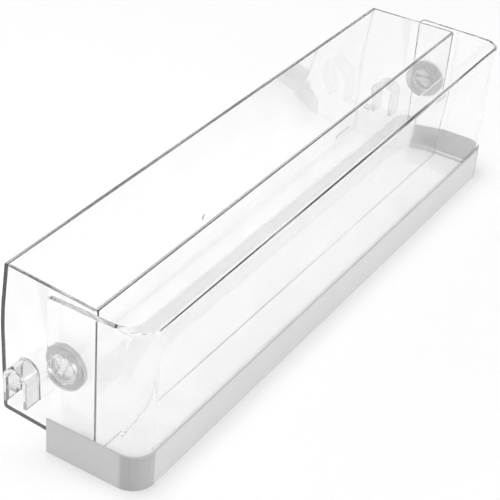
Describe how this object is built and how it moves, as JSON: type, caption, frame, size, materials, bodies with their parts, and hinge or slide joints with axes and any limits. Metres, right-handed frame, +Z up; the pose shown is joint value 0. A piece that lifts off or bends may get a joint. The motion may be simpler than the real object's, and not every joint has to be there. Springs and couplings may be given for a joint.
{
  "type": "fridge door shelf",
  "caption": "Clear plastic fridge door shelf: a deep tub with side hooks, behind a clear winged front panel with a satin grey trim band along its foot.",
  "frame": {"origin": "centre of the footprint, at the level of the trim band's lower edge", "axes": "+X along the shelf to its right end, +Y from the front panel to the door, +Z up"},
  "size_m": [0.4766, 0.1132, 0.115],
  "materials": {
    "tub_clear": "clear, polished",
    "panel_clear": "clear, polished",
    "trim_satin": "satin silver-grey",
    "pin_clear": "clear"
  },
  "bodies": {
    "root": {"tub": "tub_clear", "front_panel": "panel_clear", "trim_band": "trim_satin", "left_lock_pin": "pin_clear", "right_lock_pin": "pin_clear"}
  },
  "joints": []
}
